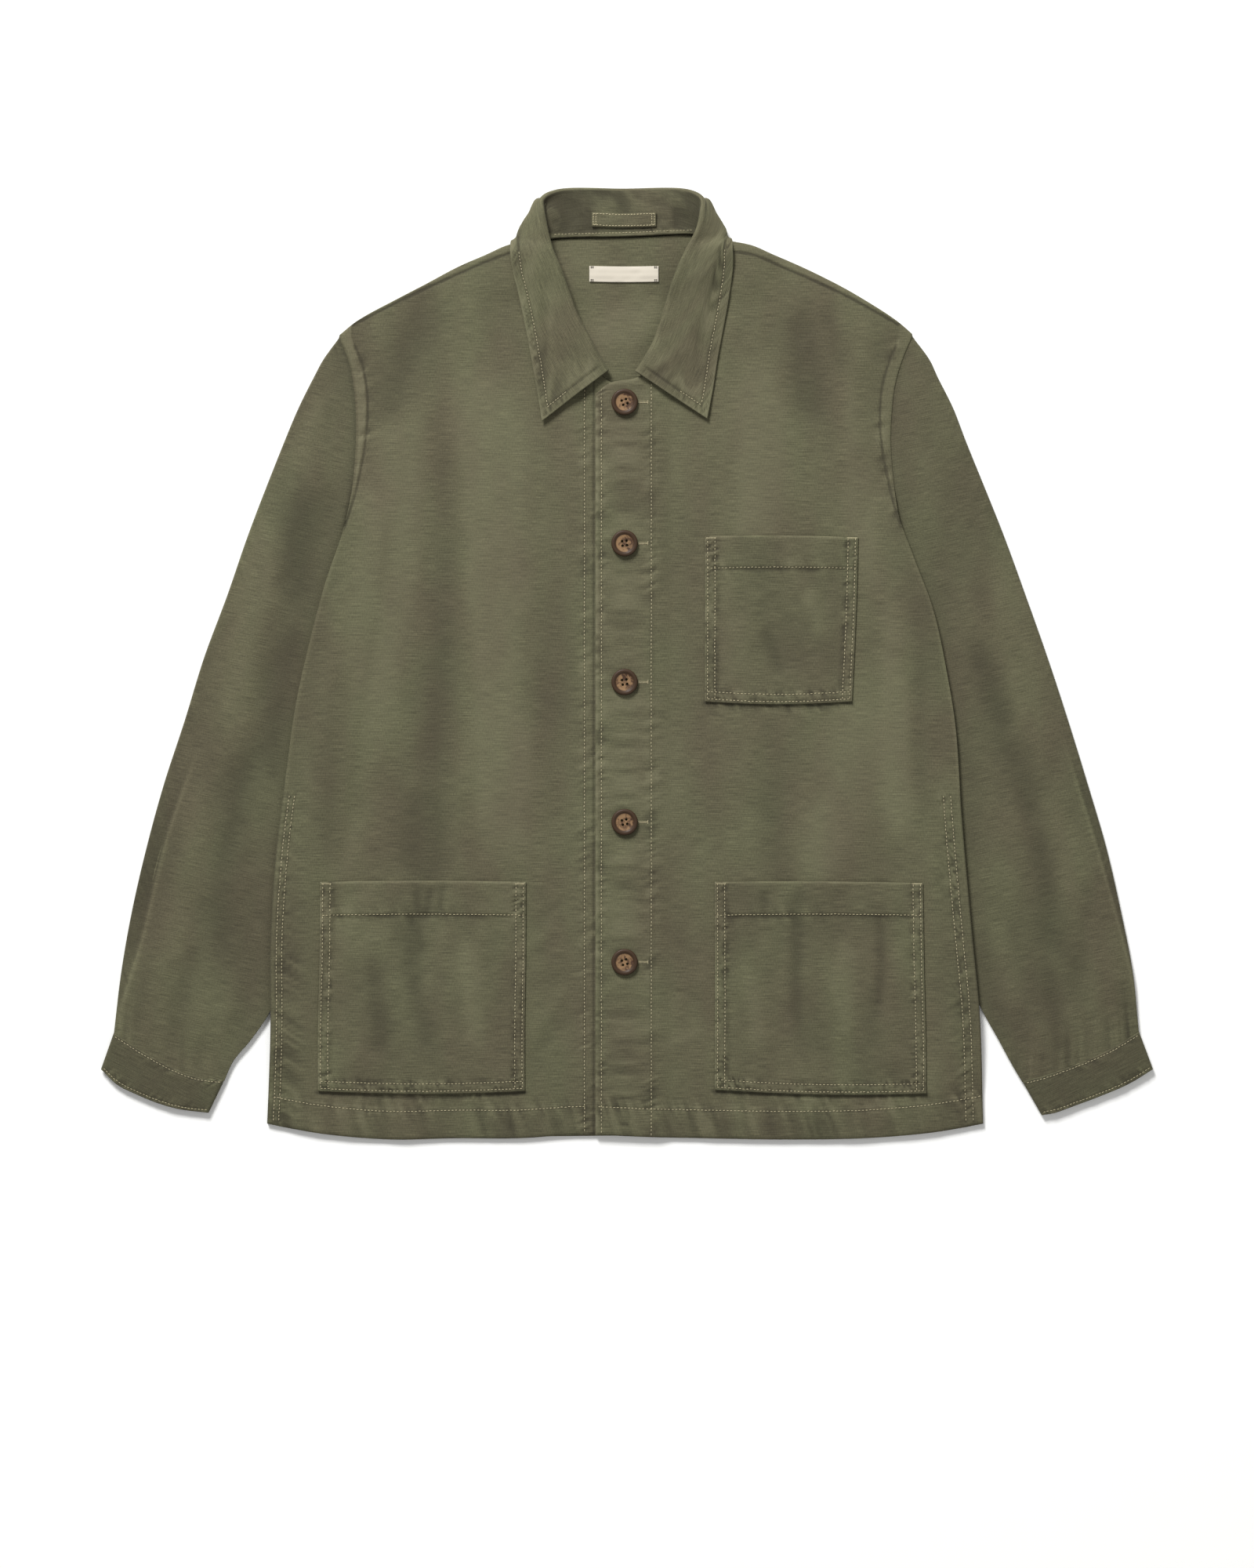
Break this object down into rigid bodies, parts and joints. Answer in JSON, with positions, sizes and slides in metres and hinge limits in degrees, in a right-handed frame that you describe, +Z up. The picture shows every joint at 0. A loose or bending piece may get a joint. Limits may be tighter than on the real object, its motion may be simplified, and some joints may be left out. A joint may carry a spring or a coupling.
{
  "type": "chore jacket",
  "caption": "Buttoned cotton chore jacket laid flat, front up, with turned-down collar, patch pockets and banded cuffs.",
  "frame": {"origin": "on the surface it lies on, under the middle of its outline", "axes": "+Z up out of the jacket's front, +Y towards the collar, +X towards the wearer's left sleeve"},
  "size_m": [0.8652, 0.7819, 0.0165],
  "materials": {
    "cloth": "olive cotton back sateen, slubbed, matt",
    "label": "cream woven tape, bare",
    "button": "mottled brown horn, polished",
    "thread": "khaki sewing thread"
  },
  "bodies": {
    "root": {"back": "cloth", "front_right": "cloth", "front_left": "cloth", "sleeve_right": "cloth", "sleeve_left": "cloth", "cuff_right": "cloth", "cuff_left": "cloth", "collar": "cloth", "collar_stand": "cloth", "hanger_loop": "cloth", "neck_label": "label", "pocket_chest": "cloth", "pocket_left": "cloth", "pocket_right": "cloth", "button_1": "button", "button_2": "button", "button_3": "button", "button_4": "button", "button_5": "button"}
  },
  "joints": []
}
